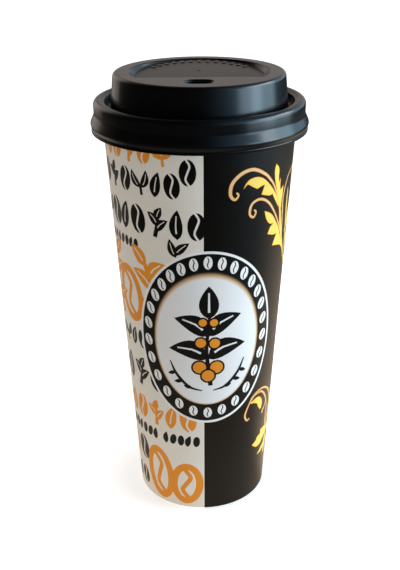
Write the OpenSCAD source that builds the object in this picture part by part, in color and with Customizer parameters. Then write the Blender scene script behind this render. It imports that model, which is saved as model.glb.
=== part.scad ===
// Tall paper coffee cup with a press-on sip lid, all sizes in millimetres.
// The cup stands on z = 0 with its axis on Z, and the sip hole faces -Y.

/* [Cup] */
// Height of the cup, from the table to the top of its rolled rim
cup_h = 185; // [140:1:200]
// Outer diameter over the rolled rim
rim_d = 90; // [76:0.5:104]
// Outer diameter of the foot
foot_d = 58; // [48:0.5:66]
// Thickness of the paperboard
board = 0.45; // [0.35:0.05:0.55]
// Diameter of the rolled rim's round section
curl_d = 2.9; // [2.4:0.1:3.6]
// Width of the glued overlap where the sidewall's two edges meet
seam_w = 8; // [5:0.5:12]
// Height of the foot that is folded up inside the base's skirt
fold_h = 6.5; // [5:0.5:9]
// Room between the top of the fold and the base disc
fold_gap = 1; // [0.6:0.1:3]
// Glue line between two layers of board
glue = 0.05; // [0.03:0.01:0.08]

/* [Lid] */
// Thickness of the lid's formed plastic
lid_t = 0.5; // [0.4:0.05:0.6]
// Height of the lid's flat top above the cup's rim
dome_h = 12; // [9:0.5:18]
// Lean of the dome's wall from upright, in degrees
dome_lean = 4.5; // [1:0.5:8]
// Radius of the dome's rounded shoulder
shoulder_r = 1.8; // [1.2:0.1:3]
// Width of the groove between the rim bead and the dome, at its floor
groove_w = 2.5; // [2:0.1:4]
// How far the groove reaches down below the rim
groove_depth = 5; // [3:0.5:8]
// Width of the ledge between the groove and the rim bead
ledge_w = 1.2; // [0.9:0.1:1.5]
// How far the ledge lies below the rim bead
ledge_drop = 0.6; // [0.4:0.1:0.8]
// Rounding of the rim bead's outer edge
bead_round = 2.2; // [1:0.1:2.3]
// Height of the collar that holds the rim, from the bead down to its narrowest place
collar_h = 6.3; // [5:0.1:8]
// How far the skirt bulges out below the collar
flare_out = 1.6; // [1:0.1:3]
// Height of the bulging skirt, from the collar's narrowest place down to the lid's edge
flare_h = 7.3; // [6:0.1:9]
// How far the skirt comes back in below its widest place
tuck = 1.2; // [0.8:0.1:1.5]
// Width of the trimmed edge that stands out under the skirt
lip_w = 0.7; // [0.5:0.1:1]

/* [Sip side] */
// Width of the flat land beside the sunken part of the top
land_w = 6.6; // [4:0.2:9]
// Depth of the flat land in front, from the shoulder's edge to the sunken part
front_land = 21.5; // [17:0.5:26]
// Depth of the sunken part at its front, which it drains towards
sink_front = 4.2; // [2:0.1:6]
// Depth of the sunken part at its back
sink_back = 0.6; // [0.4:0.1:1.5]
// Lean of the sunken part's side, as a width
sink_side = 3; // [0.8:0.1:5]
// Lean of the sunken part's front, as a width
front_lean = 1.2; // [0.5:0.1:3]
// Width of the sip hole
sip_w = 11; // [9:0.5:14]
// Size of the sip hole from front to back
sip_l = 7.5; // [6:0.25:8.5]
// Distance from the shoulder's edge to the sip hole's middle
sip_in = 12.5; // [9:0.25:14]
// Depth of the dished edge round the sip hole
dish_h = 0.9; // [0.5:0.1:1.4]
// Width of the dished edge round the sip hole
dish_w = 0.7; // [0.5:0.1:1.5]
// Diameter of the air vent
vent_d = 1.2; // [0.8:0.1:2]
// Distance of the air vent behind the axis
vent_y = 11; // [4:0.5:18]
// Number of raised dashes on the sunken part
dashes = 13; // [5:2:17]
// Size of a raised dash along the arc
dash_l = 1.8; // [1:0.1:2.5]
// Size of a raised dash across the arc
dash_w = 3; // [1:0.1:4]
// Height of a raised dash
dash_h = 0.3; // [0.2:0.05:0.5]
// Distance from the sunken part's edge in to the middle of the dashes
dash_in = 3.65; // [3:0.05:8]

/* [Fit] */
// Sideways room between the rim and the lid's collar
collar_play = 0.2; // [0.1:0.05:0.35]
// Room between the top of the rim and the lid above it
rest_gap = 0.15; // [0.1:0.05:0.3]
// Sideways room between the lid's groove and the inside of the cup
plug_play = 0.45; // [0.25:0.05:0.8]

/* [Hidden] */
$fn = 96;
eps = 0.05;

// Sidewall, which leans out from the foot to the rolled rim
curl_r = curl_d / 2;
curl_z = cup_h - curl_r;
curl_mid_r = rim_d / 2 - curl_r;
wall_top_r = curl_mid_r - curl_r + board;
foot_r = foot_d / 2;
wall_slope = (wall_top_r - foot_r) / curl_z;
function wall_r(z) = foot_r + wall_slope * z;

// The curl stops where its outside would touch the sidewall
curl_stop = acos((curl_r - board) / curl_r) + 8;

// Foot: sidewall, base skirt and fold lie against each other
fold_in = 3 * board + 2 * glue;
base_z = fold_h + fold_gap + board;
foot_round = board + 0.05;
skirt_low = board + 0.3;

// Lid, laid out from the cup's rim
top_z = cup_h + dome_h;
bead_z = cup_h + rest_gap + lid_t;
collar_r = rim_d / 2 + collar_play + lid_t;
ledge_z = bead_z - ledge_drop;
collar_low_z = bead_z - collar_h;
skirt_r = collar_r + flare_out;
edge_z = collar_low_z - flare_h + lid_t;
// The skirt is widest a little below its middle, and the collar narrows by its mould's draft
skirt_z = collar_low_z - 0.55 * flare_h;
draft = 0.1;
groove_z = cup_h - groove_depth;
groove_out_r = wall_r(groove_z) - board - plug_play - lid_t;
groove_in_r = groove_out_r - groove_w;
dome_r = groove_in_r - (top_z - groove_z) * tan(dome_lean);

// Sunken part of the lid's top, with a tilted floor that falls to its front wall
sink_r = dome_r - land_w;
crease_y = -(dome_r - front_land);
sink_tilt = atan((sink_front - sink_back) / (sink_r - crease_y));
front_tilt = atan(front_lean / sink_front);
dash_arc_r = sink_r - dash_in;
sip_y = -(dome_r - sip_in);

// A unit vector along v
function unit(v) = v / norm(v);

// An angle brought between -180 and 180
function wrap(a) = a > 180 ? a - 360 : a < -180 ? a + 360 : a;

// Points of an arc about c, from angle a0 to a1
function arc(c, r, a0, a1, n) =
    [for (i = [0:n]) c + r * [cos(a0 + (a1 - a0) * i / n), sin(a0 + (a1 - a0) * i / n)]];

// The corner b of a path a-b-c, rounded with radius f
function corner(a, b, c, f, n) =
    f <= 0 ? [b] :
    let (
        u = unit(a - b),
        v = unit(c - b),
        half = acos(u * v) / 2,
        mid = b + unit(u + v) * f / sin(half),
        from = b + u * f / tan(half) - mid,
        to = b + v * f / tan(half) - mid,
        a0 = atan2(from[1], from[0])
    )
    arc(mid, f, a0, a0 + wrap(atan2(to[1], to[0]) - a0), n);

// A path of [r, z, rounding] points with its corners rounded
function rounded(path, n) =
    let (p = [for (q = path) [q[0], q[1]]], last = len(p) - 1)
    [for (i = [0:last])
        each (i == 0 || i == last ? [p[i]] : corner(p[i - 1], p[i], p[i + 1], path[i][2], n))];

// A path moved sideways by t, to the left of its direction
function side_step(p, t) =
    let (last = len(p) - 1)
    [for (i = [0:last])
        let (
            before = i == 0 ? unit(p[1] - p[0]) : unit(p[i] - p[i - 1]),
            after = i == last ? before : unit(p[i + 1] - p[i]),
            mean = unit(before + after)
        )
        p[i] + [-mean[1], mean[0]] * t / (mean * after)];

// The outline of a sheet of thickness t, one face of which follows path p
function sheet(p, t) =
    let (q = side_step(p, t), last = len(p) - 1)
    concat(p, [for (i = [last:-1:0]) q[i]]);

// Printed face of the sidewall, from the fold over the foot up into the rolled rim
wall_path = concat(
    rounded([
        [wall_r(fold_h) - fold_in, fold_h, 0],
        [foot_r - fold_in, 0, foot_round],
        [foot_r, 0, foot_round],
        [wall_top_r, curl_z, 0]
    ], 5),
    [for (q = arc([curl_mid_r, curl_z], curl_r - board, 180, curl_stop - 180, 26)) if (q[1] != curl_z || q[0] > curl_mid_r) q]
);

// Upper face of the base, which turns down against the sidewall
base_path = rounded([
    [0, base_z, 0],
    [wall_r(base_z) - board - glue, base_z, 0.7],
    [wall_r(skirt_low) - board - glue, skirt_low, 0]
], 5);

// Upper face of the lid, from the axis out and down to the trimmed edge
lid_path = rounded([
    [0, top_z, 0],
    [dome_r, top_z, shoulder_r],
    [groove_in_r, groove_z, 0.8],
    [groove_out_r, groove_z, 0.8],
    [groove_out_r, ledge_z, 0.7],
    [groove_out_r + ledge_w, ledge_z, 0.4],
    [groove_out_r + ledge_w + ledge_drop, bead_z, 0.8],
    [collar_r + draft, bead_z, bead_round],
    [collar_r - draft, collar_low_z, 3],
    [skirt_r, skirt_z, 2],
    [skirt_r - tuck, edge_z + 0.1, 0.3],
    [skirt_r - tuck + lip_w, edge_z, 0]
], 6);

module side_seam() {
    seam_turn = seam_w / (PI * wall_r(cup_h / 2)) * 180;
    low = foot_round;
    high = cup_h - curl_d - 0.2;
    rotate([0, 0, 90 - seam_turn / 2])
        rotate_extrude(angle = seam_turn)
            polygon([
                [wall_r(low) - board / 2, low],
                [wall_r(low) + board, low],
                [wall_r(high) + board, high],
                [wall_r(high) - board / 2, high]
            ]);
}

module wall() {
    color("linen") {
        rotate_extrude()
            polygon(sheet(wall_path, board));
        side_seam();
    }
}

module base() {
    color("white")
        rotate_extrude()
            polygon(sheet(base_path, -board));
}

// The space of the sunken part, grown by g on its sides, front and floor
module sunken(g) {
    deep = sink_front + g;
    wide = 4 * sink_r;
    intersection() {
        translate([0, 0, top_z - deep])
            cylinder(h = deep + (g > 0 ? 0 : eps), r1 = sink_r - sink_side + g, r2 = sink_r + g);
        translate([0, crease_y - g, top_z])
            rotate([front_tilt, 0, 0])
                translate([-wide / 2, 0, -wide / 2])
                    cube(wide);
        translate([0, sink_r, top_z - sink_back - g])
            rotate([sink_tilt, 0, 0])
                translate([-wide / 2, -wide, 0])
                    cube([wide, 2 * wide, wide / 2]);
    }
}

// A flat-sided slot with round ends, w wide and l deep, widening by grow at its top
module slot(w, l, h, grow) {
    reach = (w - l) / 2;
    for (side = [-1, 1])
        translate([side * reach, 0, 0])
            cylinder(h = h, r1 = l / 2, r2 = l / 2 + grow);
    rotate([90, 0, 90])
        linear_extrude(height = 2 * reach, center = true)
            polygon([[-l / 2, 0], [l / 2, 0], [l / 2 + grow, h], [-l / 2 - grow, h]]);
}

// One raised dash of the arc, at angle a from the front of the lid
module dash(a) {
    turn = dash_l / (PI * dash_arc_r) * 180;
    rotate([0, 0, a - turn / 2])
        rotate_extrude(angle = turn)
            translate([dash_arc_r - dash_w / 2, 0])
                square([dash_w, lid_t + dash_h]);
}

// The arc of dashes, laid on the sunken part's tilted floor
module dash_arc() {
    spread = 100;
    translate([0, sink_r, top_z - sink_back - lid_t])
        rotate([sink_tilt, 0, 0])
            translate([0, -sink_r, 0])
                for (i = [0:dashes - 1])
                    dash(90 + spread * (i / (dashes - 1) - 0.5));
}

module lid() {
    color([0.12, 0.12, 0.13])
        difference() {
            union() {
                difference() {
                    union() {
                        rotate_extrude()
                            polygon(sheet(lid_path, -lid_t));
                        sunken(lid_t);
                        translate([0, sip_y, top_z - dish_h - lid_t])
                            slot(sip_w + 2 * lid_t, sip_l + 2 * lid_t, dish_h + lid_t, dish_w);
                    }
                    sunken(0);
                }
                dash_arc();
            }
            translate([0, sip_y, top_z - dish_h])
                slot(sip_w, sip_l, 2 * dish_h, 2 * dish_w);
            translate([0, sip_y, top_z - dish_h - lid_t - eps])
                slot(sip_w, sip_l, lid_t + 2 * eps, 0);
            translate([0, vent_y, top_z - sink_front])
                cylinder(h = sink_front + lid_t, d = vent_d);
        }
}

wall();
base();
lid();
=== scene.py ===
# %% [markdown]
# # A tall paper coffee cup with a black sip lid
#
# Such a cup is one sheet of printed board, glued into a tube, rolled out at the rim and folded in at the foot.
# A base of plain board closes it, and a thin lid formed from black plastic snaps over the rim.
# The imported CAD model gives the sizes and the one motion, the lid that lifts off. This lesson adds the looks.
# Sizes of the cup are in millimetres and are turned into metres where a mesh is made. The camera, the floor and
# the lamps are placed in metres.

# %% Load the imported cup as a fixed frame
from itertools import cycle, product
from math import atan2, cos, degrees, floor, hypot, pi, radians, sin, sqrt, tan

import bpy
import numpy as np
from mathutils import Matrix, Vector
from mathutils.geometry import delaunay_2d_cdt


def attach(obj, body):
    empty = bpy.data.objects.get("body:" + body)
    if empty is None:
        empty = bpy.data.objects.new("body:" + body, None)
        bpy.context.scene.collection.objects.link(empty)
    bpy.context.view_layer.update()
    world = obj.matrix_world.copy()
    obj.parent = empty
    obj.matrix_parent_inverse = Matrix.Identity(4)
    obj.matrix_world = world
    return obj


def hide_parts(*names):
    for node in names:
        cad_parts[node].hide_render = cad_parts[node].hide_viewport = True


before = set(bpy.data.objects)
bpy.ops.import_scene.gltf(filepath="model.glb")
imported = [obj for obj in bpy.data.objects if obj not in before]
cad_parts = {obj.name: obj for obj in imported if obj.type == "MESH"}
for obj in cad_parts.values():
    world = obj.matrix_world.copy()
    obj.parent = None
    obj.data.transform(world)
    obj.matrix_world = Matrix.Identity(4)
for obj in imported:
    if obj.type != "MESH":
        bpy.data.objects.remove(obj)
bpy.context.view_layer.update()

MM = 0.001

# %% [markdown]
# ## The camera
#
# The photograph looks down a little on the cup, so the lid shows as a flat oval and the foot as a rounder one.
# The place, tilt and lens below were fitted to the outlines of the lid, the sidewall and the foot. The cup stands
# off-centre in the frame, which a vertical lens shift repeats. It leans by under half a degree, so the camera is
# rolled by that much.

# %% Place the camera
CAMERA_AT = (0.0, -0.398, 0.2706)
LOOKS_DOWN = 16.58
ROLL = -0.41
LENS = 59.5
SHIFT_Y = -0.20

camera = bpy.data.objects.new("camera", bpy.data.cameras.new("camera"))
bpy.context.scene.collection.objects.link(camera)
camera.data.lens = LENS
camera.data.shift_y = SHIFT_Y
camera.data.clip_start = 0.01
camera.matrix_world = (
    Matrix.Translation(CAMERA_AT)
    @ Matrix.Rotation(radians(90 - LOOKS_DOWN), 4, "X")
    @ Matrix.Rotation(radians(ROLL), 4, "Z")
)
bpy.context.scene.camera = camera
bpy.context.scene.view_settings.view_transform = "Standard"
print("camera", CAMERA_AT, "lens", LENS)

# %% [markdown]
# ## A short hand for finishes
#
# A finish is a material with one Principled shader. As a formula, a pattern is easier to read than as a web of
# nodes, so a Wire stands for one output of a node, and arithmetic on wires adds the Math nodes.
# Numbers that are the same all over the surface are set on the shader's own sockets.

# %% Wires and finishes
def operator(operation):
    return lambda wire, other: wire.calc(operation, wire, other)


class Wire:
    """One output of a node. Arithmetic on it adds Math nodes."""

    __add__ = __radd__ = operator("ADD")
    __mul__ = __rmul__ = operator("MULTIPLY")
    __sub__, __truediv__, __pow__ = operator("SUBTRACT"), operator("DIVIDE"), operator("POWER")

    def __init__(self, finish, socket):
        self.finish, self.socket = finish, socket

    def __rsub__(self, other):
        return self.calc("SUBTRACT", other, self)

    def calc(self, operation, *values):
        return self.finish.node("ShaderNodeMath", {"operation": operation}, dict(enumerate(values)))

    def above_zero(self):
        return self.calc("MAXIMUM", self, 0)


class Finish:
    """A node tree that is filled in by formulas."""

    def __init__(self, tree, shader=None):
        self.tree, self.shader = tree, shader

    def node(self, kind, settings=None, sockets=None, out=0):
        made = self.tree.nodes.new(kind)
        for key, value in (settings or {}).items():
            setattr(made, key, value)
        for key, value in (sockets or {}).items():
            self.join(made.inputs[key], value)
        return Wire(self, made.outputs[out])

    def join(self, socket, value):
        if isinstance(value, Wire):
            self.tree.links.new(value.socket, socket)
        else:
            socket.default_value = value

    def feed(self, name, value):
        self.join(self.shader.inputs[name], value)

    def here(self):
        """The place on the piece, in metres. It moves with the piece."""
        return self.node("ShaderNodeTexCoord", out=3)

    def noise(self, place, scale, detail=2.0):
        return self.node("ShaderNodeTexNoise", sockets={"Vector": place, "Scale": scale, "Detail": detail})

    def between(self, wire, low, high):
        """0 below low, 1 above high, and a smooth step between them."""
        settings = {"interpolation_type": "SMOOTHSTEP"}
        return self.node("ShaderNodeMapRange", settings, {0: wire, 1: low, 2: high})

    def mix(self, share, first, second):
        """first where share is 0, second where it is 1."""
        return self.node("ShaderNodeMix", {"data_type": "RGBA"}, {0: share, 6: first, 7: second}, out=2)

    def shaded(self, colour, amount):
        """A colour made lighter or darker by a number that varies."""
        return self.node("ShaderNodeVectorMath", {"operation": "SCALE"}, {0: colour[:3], "Scale": amount})

    def sum(self, first, second):
        """Two colours added."""
        return self.node("ShaderNodeVectorMath", {"operation": "ADD"}, {0: first, 1: second})

    def parts(self, vector):
        """The three numbers of a vector."""
        split = self.node("ShaderNodeSeparateXYZ", sockets={0: vector})
        return [Wire(self, socket) for socket in split.socket.node.outputs]

    def ray(self, kind):
        """1 for that kind of ray, else 0."""
        return self.node("ShaderNodeLightPath", out=kind)

    def bump(self, height, depth):
        """A relief of that depth in metres."""
        return self.node("ShaderNodeBump", sockets={"Height": height, "Distance": depth, "Strength": 1.0})


def finish_named(name, **sockets):
    material = bpy.data.materials.new(name)
    material.use_nodes = True
    made = Finish(material.node_tree, material.node_tree.nodes["Principled BSDF"])
    made.material = material
    for key, value in sockets.items():
        made.feed(key.replace("_", " ").title().replace("Ior", "IOR"), value)
    return made


print("wires and finishes are ready")

# %% [markdown]
# ## Floor, backdrop and lamps
#
# The cup stands on a white table with nothing behind it. Next to the cup the table glows only a little for the
# camera, which leaves room for the soft shadow, and further out it is white. Towards the cup it glows warm, a
# painted bounce light, though it is no lamp. What the satin print and the black lid mirror is given apart, and on
# the table it is a painted reflection: a warm table that goes dark towards the viewer and bright beside and
# behind the cup, a pale room at the back and a cool window side at the right.

# %% Make the floor
FLOOR_HALF = 6.0
FLOOR_COLOUR = (0.80, 0.80, 0.80, 1)
WHITE, BLACK = (1, 1, 1, 1), (0, 0, 0, 1)
NEAR_CUP = 0.12
SHADOW_REACH = 0.042
GLOW_IN_SHADOW = (0.48, 0.48, 0.48, 1)
BOUNCE = (0.42, 0.39, 0.35, 1)
BOUNCE_NEAR_CUP = (0.78, 0.69, 0.58, 1)
MIRRORED_TABLE = (0.62, 0.50, 0.38, 1)
MIRRORED_BEHIND = (0.62, 0.52, 0.40, 1)
MIRRORED_BACK_LEFT = (1.30, 1.15, 0.95, 1)
MIRRORED_BESIDE = (1.00, 0.80, 0.56, 1)
MIRRORED_REACH = 0.42
BESIDE_FROM, BESIDE_TO = -0.35, 0.30
TABLE_ROUGH, TABLE_UNEVEN, TABLE_GRAIN = 0.85, 0.1, 40.0

mesh = bpy.data.meshes.new("floor")
corners = [(x * FLOOR_HALF, y * FLOOR_HALF, 0) for x, y in ((-1, -1), (1, -1), (1, 1), (-1, 1))]
mesh.from_pydata(corners, [], [(0, 1, 2, 3)])
table = bpy.data.objects.new("floor", mesh)
bpy.context.scene.collection.objects.link(table)

paint = finish_named("floor_paint", emission_strength=1.0)
x, y, _ = paint.parts(paint.here())
spread = x * x + y * y
near, in_shadow, seen = ((1 + (spread / r**2) ** 2) ** -1 for r in (NEAR_CUP, SHADOW_REACH, MIRRORED_REACH))
behind = (1 - near) * seen * y.above_zero() ** 2 / spread
back_left = (1 - near) * seen * (0 - x).above_zero() * y.above_zero() / spread
turned_back = paint.between(y / spread**0.5, BESIDE_FROM, BESIDE_TO)
beside_cup = seen * turned_back * x.above_zero() ** 2 / spread
to_camera, mirrored = paint.ray("Is Camera Ray"), paint.ray("Is Glossy Ray")
shown = paint.mix(in_shadow, WHITE, GLOW_IN_SHADOW)
# Painted bounce light: the table glows warm for the cup's diffuse rays, more strongly near the cup.
bounce = paint.mix(near, BOUNCE, BOUNCE_NEAR_CUP)
# Painted reflection: for mirror rays the table is black and glows this image of the table and the room instead.
mirror_image = paint.sum(paint.shaded(MIRRORED_TABLE, near), paint.shaded(MIRRORED_BEHIND, behind))
sides = paint.sum(paint.shaded(MIRRORED_BACK_LEFT, back_left), paint.shaded(MIRRORED_BESIDE, beside_cup))
mirror_image = paint.sum(mirror_image, sides)
paint.feed("Emission Color", paint.mix(to_camera, paint.mix(mirrored, bounce, mirror_image), shown))
paint.feed("Base Color", paint.mix(mirrored, FLOOR_COLOUR, BLACK))
paint.feed("Roughness", TABLE_ROUGH + TABLE_UNEVEN * paint.noise(paint.here(), TABLE_GRAIN))
mesh.materials.append(paint.material)
print("floor", 2 * FLOOR_HALF, "m wide")

# %% Light the room
ROOM_LIGHT = (0.06, 0.05, 0.045, 1)
LEFT_WALL = (0.52, 0.50, 0.46, 1)
BACK_WALL = (0.70, 0.68, 0.66, 1)
MIRRORED_WINDOW_SIDE = (0.80, 1.50, 2.10, 1)
MIRRORED_BACK = (0.48, 0.43, 0.40, 1)

world = bpy.data.worlds.new("room")
world.use_nodes = True
bpy.context.scene.world = world
room = Finish(world.node_tree)
x, y, _ = room.parts(room.node("ShaderNodeTexCoord"))
left, right, back = (part.above_zero() ** 2 for part in (0 - x, x, y))
mirror_image = room.sum(room.shaded(MIRRORED_WINDOW_SIDE, right), room.shaded(MIRRORED_BACK, back))
walls = room.sum(ROOM_LIGHT[:3], room.sum(room.shaded(LEFT_WALL, left), room.shaded(BACK_WALL, back)))
lit = room.mix(room.ray("Is Glossy Ray"), walls, mirror_image)
background = world.node_tree.nodes["Background"]
room.join(background.inputs["Color"], room.mix(room.ray("Is Camera Ray"), lit, WHITE))


def lamp(name, at, size, power, colour):
    """A soft rectangular lamp, turned towards the middle of the cup."""
    light = bpy.data.lights.new(name, "AREA")
    light.shape = "RECTANGLE"
    light.size, light.size_y = size
    light.energy, light.color = power, colour
    made = bpy.data.objects.new(name, light)
    bpy.context.scene.collection.objects.link(made)
    made.location = at
    made.rotation_euler = (CUP_MIDDLE - Vector(at)).to_track_quat("-Z", "Y").to_euler()
    made.visible_camera = False


CUP_MIDDLE = Vector((0, 0, 0.11))
lamp("window", at=(0.70, -0.02, 0.20), size=(0.52, 0.38), power=1.9, colour=(0.60, 0.88, 1.0))
lamp("window_front", at=(0.645, -0.28, 0.20), size=(0.42, 0.38), power=2.0, colour=(0.62, 0.82, 1.0))
lamp("window_top", at=(0.69, 0.03, 0.54), size=(0.70, 0.26), power=3.6, colour=(0.96, 0.96, 0.97))
lamp("back_left", at=(-0.45, 0.54, 0.30), size=(0.40, 0.60), power=0.5, colour=(1.0, 0.88, 0.80))

# %% [markdown]
# ## Sizes of the cup
#
# The sidewall leans outwards from the foot to the rim, so its radius grows evenly with the height.
# The board is 0.45 mm thick. These values are the same as in the part's source.

# %% Sizes of the sidewall
CUP_H = 185.0
FOOT_R = 29.0
BOARD = 0.45
GLUE = 0.05
CURL_R = 1.45
CURL_MID_R = 43.55
CURL_Z = CUP_H - CURL_R
CURL_STOP, CURL_STEPS = -125.6, 30
WALL_TOP_R = CURL_MID_R - CURL_R + BOARD
WALL_SLOPE = (WALL_TOP_R - FOOT_R) / CURL_Z
FOLD_H = 6.5
FOLD_IN = 3 * BOARD + 2 * GLUE
FOOT_ROUND = 0.5


def wall_r(z):
    """Outer radius of the sidewall at height z."""
    return FOOT_R + WALL_SLOPE * z


print("sidewall radius at the rim", round(WALL_TOP_R, 2), "mm")

# %% [markdown]
# ## Paths and sheets
#
# A rolled rim, a folded foot and a formed lid are all thin sheets turned about the cup's axis. So each is drawn
# as a path in the plane of radius and height, with rounded corners, and a second path beside it gives the
# thickness.

# %% Draw rounded paths
SHARPEST_MITRE = 0.35
FILLET_STEPS = 8


def unit(v):
    return np.array(v) / np.linalg.norm(v)


def arc(centre, radius, start, stop, steps):
    """Points of an arc, with its angles in degrees."""
    turns = np.radians(np.linspace(start, stop, steps + 1))
    return [np.array(centre) + radius * np.array([cos(t), sin(t)]) for t in turns]


def rounded(path):
    """A path of (radius, height, rounding) points with its corners rounded."""
    points = [np.array(p[:2], float) for p in path]
    made = [points[0]]
    for before, corner, after, (_, _, fillet) in zip(points, points[1:], points[2:], path[1:]):
        if fillet <= 0:
            made.append(corner)
            continue
        u, v = unit(before - corner), unit(after - corner)
        half = np.arccos(np.clip(u @ v, -1, 1)) / 2
        middle = corner + unit(u + v) * fillet / sin(half)
        first, last = corner + u * fillet / tan(half) - middle, corner + v * fillet / tan(half) - middle
        start = degrees(atan2(first[1], first[0]))
        sweep = (degrees(atan2(last[1], last[0])) - start + 180) % 360 - 180
        made += arc(middle, fillet, start, start + sweep, FILLET_STEPS)
    return made + [points[-1]]


def beside(path, gap):
    """The path moved sideways by gap, to the left of its direction."""
    made = []
    for i, p in enumerate(path):
        into = unit(p - path[i - 1]) if i else unit(path[1] - p)
        out = unit(path[i + 1] - p) if i < len(path) - 1 else into
        mean = unit(into + out)
        made.append(p + np.array([-mean[1], mean[0]]) * gap / max(SHARPEST_MITRE, mean @ out))
    return made


print("paths are ready")

# %% [markdown]
# ## A mesh that is filled piece by piece
#
# The builder below collects faces with their finish, their place on the bake image and, where it is known, the
# exact direction in which each corner faces. Points that fall together are shared, so the sheets close: space
# is counted in cells of a micron, and a point close to the side of its cell is entered in the next one too.

# %% The mesh builder
CELL, CELL_SIDE = 0.001, 0.05
BAKE_FROM, BAKE_WIDE = 0.01, 0.98
SHARP_FROM = 35


class Sheet:
    """Collects faces and turns them into one piece."""

    def __init__(self):
        self.index, self.points, self.faces, self.inks, self.places, self.normals = {}, [], [], [], [], []

    def point(self, p):
        cells = list(product(*({floor(c / CELL - CELL_SIDE), floor(c / CELL + CELL_SIDE)} for c in p)))
        known = next((self.index[cell] for cell in cells if cell in self.index), len(self.points))
        if known == len(self.points):
            self.points.append(tuple(float(c) * MM for c in p))
        self.index.update({cell: known for cell in cells if cell not in self.index})
        return known

    def face(self, corners, ink, places, normals=None):
        """A face of (x, y, z) corners. One that has shrunk to a line is left out."""
        ids = [self.point(p) for p in corners]
        keep = [i for i in range(len(ids)) if ids[i] != ids[i - 1]]
        if len(keep) < 3:
            return
        self.faces.append([ids[i] for i in keep])
        self.inks.append(ink)
        self.places += [places[i] for i in keep]
        self.normals += [tuple(normals[i]) if normals else (0, 0, 0) for i in keep]

    def spin(self, path, angles, ink_at, band):
        """Turns a path about the axis. ink_at gives the ink at an angle, band its place on the bake image."""
        along = np.concatenate([[0], np.cumsum([np.linalg.norm(b - a) for a, b in zip(path, path[1:])])])
        rows = band[0] + (band[1] - band[0]) * along / along[-1]
        columns = [(a - angles[0]) / (angles[-1] - angles[0]) * BAKE_WIDE + BAKE_FROM for a in angles]
        rings = [[turned(r, angle, z) for angle in angles] for r, z in path]
        for i in range(len(path) - 1):
            for j in range(len(angles) - 1):
                quad = ((i, j), (i, j + 1), (i + 1, j + 1), (i + 1, j))
                places = [(columns[b], rows[a]) for a, b in quad]
                self.face([rings[a][b] for a, b in quad], ink_at((angles[j] + angles[j + 1]) / 2), places)

    def build(self, name, materials):
        mesh = bpy.data.meshes.new(name)
        mesh.from_pydata(self.points, [], self.faces)
        for material in materials:
            mesh.materials.append(material)
        mesh.polygons.foreach_set("material_index", self.inks)
        mesh.uv_layers.new(name="OFBake").data.foreach_set("uv", np.array(self.places, np.float32).ravel())
        mesh.polygons.foreach_set("use_smooth", [True] * len(self.faces))
        mesh.set_sharp_from_angle(angle=radians(SHARP_FROM))
        mesh.normals_split_custom_set(self.normals)
        mesh.validate()
        made = bpy.data.objects.new(name, mesh)
        bpy.context.scene.collection.objects.link(made)
        uses = np.zeros(len(mesh.edges), int)
        np.add.at(uses, [loop.edge_index for loop in mesh.loops], 1)
        print(name, len(mesh.polygons), "faces,", int((uses != 2).sum()), "open edges")
        return made


def turned(r, angle, z):
    """A point at radius r and height z. Angle 0 is the front, and angles grow towards +X."""
    return (r * sin(radians(angle)), -r * cos(radians(angle)), z)


print("the mesh builder is ready")

# %% [markdown]
# ## The print: shapes drawn flat
#
# The design is ink on the sidewall. An image would blur up close, so every leaf and bean is an outline drawn in
# millimetres and laid on the wall. Three shapes are enough: a ribbon that follows a curve and changes its width,
# a blade with a pointed tip, and an oval.

# %% Ribbon, blade and oval
THINNEST = 0.05
BLADE_STEPS = 9


def smooth_curve(points, steps):
    """A curve through all the points. Every number in a point is smoothed, a width too."""
    p = [np.array(q, float) for q in points]
    p = [2 * p[0] - p[1]] + p + [2 * p[-1] - p[-2]]
    made = []
    for a, b, c, d in zip(p, p[1:], p[2:], p[3:]):
        bend, twist = 2 * a - 5 * b + 4 * c - d, 3 * b - a - 3 * c + d
        made += [0.5 * (2 * b + (c - a) * t + bend * t**2 + twist * t**3) for t in np.arange(steps) / steps]
    return made + [p[-2]]


def ribbon(points, grow=0.0, steps=5):
    """A band along (u, v, width) points."""
    curve = smooth_curve(points, steps)
    left, right = [], []
    for i, (u, v, width) in enumerate(curve):
        ahead = curve[min(i + 1, len(curve) - 1)][:2] - curve[max(i - 1, 0)][:2]
        side = np.array([-ahead[1], ahead[0]]) / hypot(*ahead) * (max(width, THINNEST) / 2 + grow)
        left.append((u + side[0], v + side[1]))
        right.append((u - side[0], v - side[1]))
    return left + right[::-1]


def blade(base, tip, width, bend=0.0, grow=0.0):
    """A leaf from base to tip. bend bows it to its left, as a share of its length."""
    base, tip = np.array(base, float), np.array(tip, float)
    along = tip - base
    base, tip = base - unit(along) * grow, tip + unit(along) * grow * 2
    side = np.array([-along[1], along[0]])
    left, right = [], []
    for t in np.linspace(0, 1, BLADE_STEPS + 1):
        middle = base + (tip - base) * t + side * bend * 4 * t * (1 - t)
        half = unit(side) * (width / 2 + grow) * sin(pi * t**0.8) ** 0.85
        left.append(tuple(middle + half))
        right.append(tuple(middle - half))
    return left + right[-2:0:-1]


def oval(centre, wide, high, turn=0.0, steps=16):
    c, s = cos(radians(turn)), sin(radians(turn))
    made = []
    for t in np.arange(steps) * 2 * pi / steps:
        u, v = wide / 2 * cos(t), high / 2 * sin(t)
        made.append((centre[0] + c * u - s * v, centre[1] + s * u + c * v))
    return made


print("shapes:", len(blade((0, 0), (0, 10), 4)), "points in a blade")

# %% [markdown]
# ## Laying shapes on the wall
#
# The print is laid out by angle round the cup and by height. A pen stands at one spot of the wall and may be
# turned or mirrored. Each shape it draws goes on top of the ones before, like layers of paper.

# %% The pen
EDGE_ANGLE = 1.9
WHITE_SIDE, DARK_SIDE, BOTH_SIDES = -1, 1, 0
INKS = ["white", "dark", "black", "ochre", "gold", "pale_gold", "field", "ring_white", "coated", "raw_edge"]
INK = {name: i for i, name in enumerate(INKS)}
layers = []


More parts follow.
